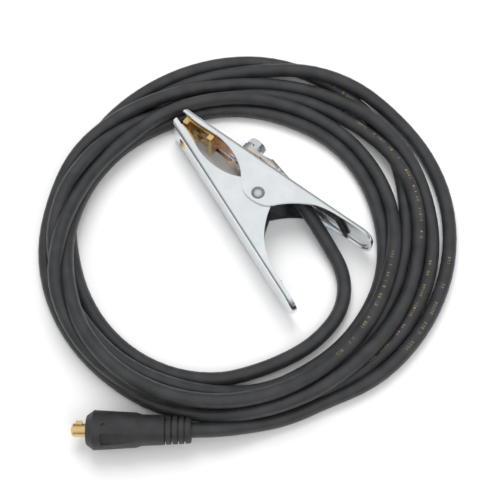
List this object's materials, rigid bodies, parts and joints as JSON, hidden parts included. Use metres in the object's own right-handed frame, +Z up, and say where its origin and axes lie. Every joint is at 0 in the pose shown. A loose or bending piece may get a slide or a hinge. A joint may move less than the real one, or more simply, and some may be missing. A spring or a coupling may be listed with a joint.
{
  "type": "ground clamp",
  "caption": "Sprung welding ground clamp of pressed steel with brass contacts, its cable coiled in a ring, ending in a bayonet plug.",
  "frame": {"origin": "on the surface that the clamp lies on, under the middle of the clamp without its cable and plug", "axes": "+X from the jaw tips to the handle ends along the fixed jaw, +Y to the fixed jaw's back, +Z up along the hinge axis"},
  "size_m": [0.29, 0.3326, 0.0321],
  "materials": {
    "zinc_plate": "bright zinc plate on pressed sheet",
    "polished_steel": "bright turned steel",
    "spring_steel": "black oiled wire",
    "brass": "plain brass, lightly tarnished",
    "copper": "bare copper",
    "tinned_copper": "tin plate, dull",
    "zinc_fastener": "zinc plate",
    "cable_rubber": "satin black rubber",
    "plug_rubber": "moulded black rubber"
  },
  "bodies": {
    "fixed_jaw": {"upper_jaw": "zinc_plate", "pivot_rivet": "polished_steel", "pivot_sleeve": "polished_steel", "torsion_spring": "spring_steel", "upper_contact": "brass", "upper_contact_rivets": "brass", "copper_strap": "copper", "lug_bolt": "zinc_fastener", "flat_washer": "zinc_fastener", "spring_washer": "zinc_fastener", "lug_nut": "zinc_fastener", "cable_lug": "tinned_copper", "lug_conductor": "copper", "cable_lead": "cable_rubber", "cable_coil": "cable_rubber", "cable_tail": "cable_rubber", "plug_jacket_end": "cable_rubber", "plug_sleeve": "plug_rubber", "plug_contact": "brass", "plug_set_screws": "zinc_fastener", "plug_crimp_sleeve": "copper", "plug_conductor": "copper", "plug_retaining_pin": "polished_steel"},
    "moving_jaw": {"lower_jaw": "zinc_plate", "lower_contact": "brass", "lower_contact_rivet": "brass"}
  },
  "joints": [
    {"name": "jaw_hinge", "type": "hinge", "parent": "fixed_jaw", "child": "moving_jaw", "pos_m": [0.0001, 0.00775, 0.0155], "axis": [0, 0, 1], "range_deg": [0, 20], "stiffness_Nm_per_rad": 2.5, "springref_deg": -68.75, "deforming": ["torsion_spring"]}
  ]
}
